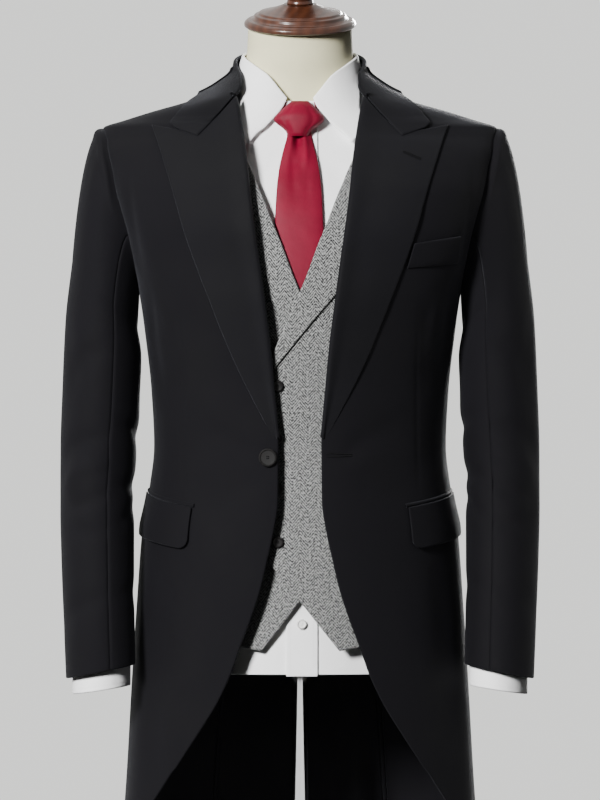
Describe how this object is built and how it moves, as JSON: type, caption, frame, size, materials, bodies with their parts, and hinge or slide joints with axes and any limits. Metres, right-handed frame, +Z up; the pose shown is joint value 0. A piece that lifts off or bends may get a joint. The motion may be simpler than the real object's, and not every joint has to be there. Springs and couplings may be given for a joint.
{
  "type": "morning suit on a dress form",
  "caption": "Black tailcoat with peaked lapels, open over a pale grey wrap waistcoat, white shirt and crimson tie, on a limbless form with a round stand.",
  "frame": {"origin": "on the floor under the pole, in the middle of the round base", "axes": "+Z up, the front of the suit faces -Y, the wearer's left is +X"},
  "size_m": [0.5482, 0.38, 1.6191],
  "materials": {
    "coat_wool": "fine matte worsted",
    "waistcoat_wool": "matte salt and pepper wool",
    "shirt_cotton": "smooth poplin",
    "tie_satin": "satin sheen",
    "form": "plain matte jersey",
    "wood": "polished, reddish brown",
    "chrome": "polished",
    "base_steel": "brushed",
    "horn_button": "dark horn",
    "shirt_button": "pearl"
  },
  "bodies": {
    "root": {"form_torso": "form", "form_neck_cap": "wood", "form_neck_knob": "wood", "stand_base": "base_steel", "stand_pole": "chrome", "shirt_front_left": "shirt_cotton", "shirt_front_right": "shirt_cotton", "shirt_back": "shirt_cotton", "shirt_placket": "shirt_cotton", "shirt_collar_stand": "shirt_cotton", "shirt_collar": "shirt_cotton", "shirt_sleeve_left": "shirt_cotton", "shirt_sleeve_right": "shirt_cotton", "shirt_cuff_left": "shirt_cotton", "shirt_cuff_right": "shirt_cotton", "shirt_button": "shirt_button", "tie_band": "tie_satin", "tie_blade": "tie_satin", "tie_knot": "tie_satin", "waistcoat_front_left": "waistcoat_wool", "waistcoat_front_right": "waistcoat_wool", "waistcoat_lapel_left": "waistcoat_wool", "waistcoat_lapel_right": "waistcoat_wool", "waistcoat_back": "waistcoat_wool", "waistcoat_button_1": "horn_button", "waistcoat_button_2": "horn_button", "waistcoat_button_3": "horn_button", "waistcoat_button_4": "horn_button", "coat_front_left": "coat_wool", "coat_front_right": "coat_wool", "coat_side_left": "coat_wool", "coat_side_right": "coat_wool", "coat_skirt_left": "coat_wool", "coat_skirt_right": "coat_wool", "coat_back_left": "coat_wool", "coat_back_right": "coat_wool", "coat_top_sleeve_left": "coat_wool", "coat_top_sleeve_right": "coat_wool", "coat_under_sleeve_left": "coat_wool", "coat_under_sleeve_right": "coat_wool", "coat_lapel_left": "coat_wool", "coat_lapel_right": "coat_wool", "coat_pocket_flap_left": "coat_wool", "coat_pocket_flap_right": "coat_wool", "coat_pocket_jetting_left": "coat_wool", "coat_pocket_jetting_right": "coat_wool", "coat_collar": "coat_wool", "coat_collar_stand": "coat_wool", "coat_breast_welt": "coat_wool", "coat_button_front": "horn_button", "coat_button_back_left": "horn_button", "coat_button_back_right": "horn_button", "sleeve_button_left_1": "horn_button", "sleeve_button_left_2": "horn_button", "sleeve_button_left_3": "horn_button", "sleeve_button_right_1": "horn_button", "sleeve_button_right_2": "horn_button", "sleeve_button_right_3": "horn_button"}
  },
  "joints": []
}
